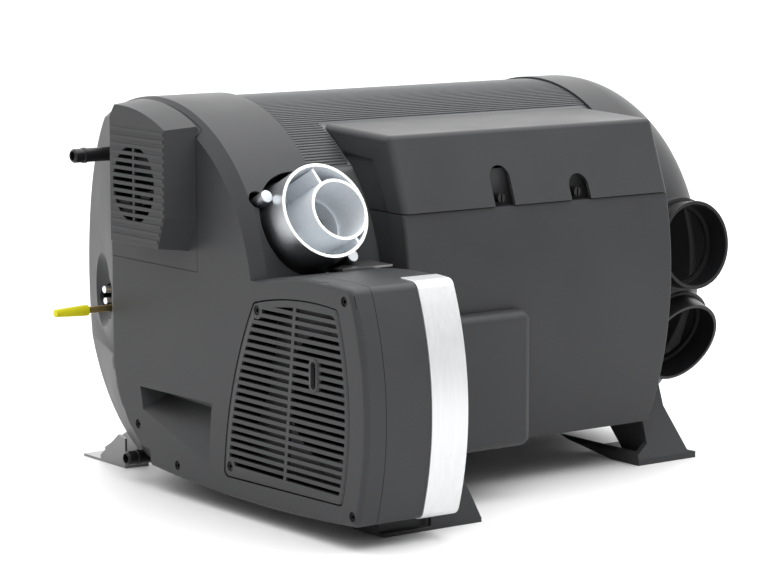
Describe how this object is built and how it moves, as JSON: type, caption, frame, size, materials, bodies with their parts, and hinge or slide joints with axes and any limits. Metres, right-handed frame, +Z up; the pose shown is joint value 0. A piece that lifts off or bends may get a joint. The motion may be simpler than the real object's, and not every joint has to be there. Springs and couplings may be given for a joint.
{
  "type": "combi heater",
  "caption": "Combi space and water heater: ribbed drum on feet, blower snout with grille and bright band, angled flue stub, lift-off service lid, side warm-air sleeves.",
  "frame": {"origin": "centre of the footprint at floor level", "axes": "+X along the drum to the end with the warm-air sleeves, -Y to the side with the lid and the bright band, +Z up"},
  "size_m": [0.5, 0.4473, 0.302],
  "materials": {
    "case_plastic": "fine-grained satin dark grey moulding",
    "black_plastic": "black moulding",
    "dark_steel": "blackened screw",
    "band_metal": "brushed silver strip",
    "cast_aluminium": "cast with bright cut rims",
    "galvanised": "zinc-plated sheet",
    "gasket": "soft sealing ring",
    "brass": "plain brass",
    "yellow_plastic": "soft yellow cap",
    "board": "green board",
    "motor_paint": "black painted can",
    "steel": "plain sheet and tube"
  },
  "bodies": {
    "case": {"bezel_screws": "dark_steel", "blower_housing": "case_plastic", "board_components": "black_plastic", "board_tray": "black_plastic", "burner_gas_line": "brass", "burner_tube": "steel", "cold_feed_pipe": "steel", "cold_water_fitting": "black_plastic", "combustion_air_duct": "steel", "combustion_fan_housing": "cast_aluminium", "combustion_motor": "motor_paint", "control_board": "board", "drum_shell": "case_plastic", "electronics_cover": "case_plastic", "exhaust_duct": "steel", "fan_motor": "motor_paint", "flue_bracket": "galvanised", "flue_casting": "cast_aluminium", "flue_gasket": "gasket", "flue_screws": "galvanised", "front_bulkhead": "steel", "front_foot": "case_plastic", "front_housing": "case_plastic", "gas_inlet_pipe": "brass", "gas_nut": "brass", "gas_valve": "brass", "gas_valve_coils": "motor_paint", "grille_screws": "dark_steel", "heat_exchanger": "cast_aluminium", "hot_feed_pipe": "steel", "hot_water_fitting": "black_plastic", "housing_screws": "dark_steel", "ignition_electrodes": "steel", "inlet_plate": "black_plastic", "intake_grille": "case_plastic", "left_bracket": "galvanised", "lid_pegs": "case_plastic", "overheat_switch": "steel", "rear_cap": "case_plastic", "rear_foot_back": "case_plastic", "rear_foot_front": "case_plastic", "rear_spider": "steel", "side_panel": "case_plastic", "tank_supports": "black_plastic", "trim_band": "band_metal", "warm_air_outlet_back_lower": "black_plastic", "warm_air_outlet_back_upper": "black_plastic", "warm_air_outlet_front_lower": "black_plastic", "warm_air_outlet_front_upper": "black_plastic", "water_sensor": "steel", "water_tank": "steel"},
    "fan": {"fan_wheel": "black_plastic", "fan_shaft": "steel"},
    "combustion_fan": {"combustion_impeller": "cast_aluminium", "combustion_shaft": "steel"},
    "lid": {"service_lid": "case_plastic"},
    "cap": {"gas_cap": "yellow_plastic"}
  },
  "joints": [
    {"name": "fan_spin", "type": "hinge", "parent": "case", "child": "fan", "pos_m": [-0.166, -0.15, 0.1], "axis": [1, 0, 0], "continuous": true},
    {"name": "combustion_fan_spin", "type": "hinge", "parent": "case", "child": "combustion_fan", "pos_m": [-0.177, 0.058, 0.1525], "axis": [1, 0, 0], "continuous": true},
    {"name": "lid_lift", "type": "slide", "parent": "case", "child": "lid", "axis": [0, 0, 1], "range_m": [0, 0.06]},
    {"name": "gas_cap_pull", "type": "slide", "parent": "case", "child": "cap", "axis": [-1, 0, 0], "range_m": [0, 0.03]}
  ]
}
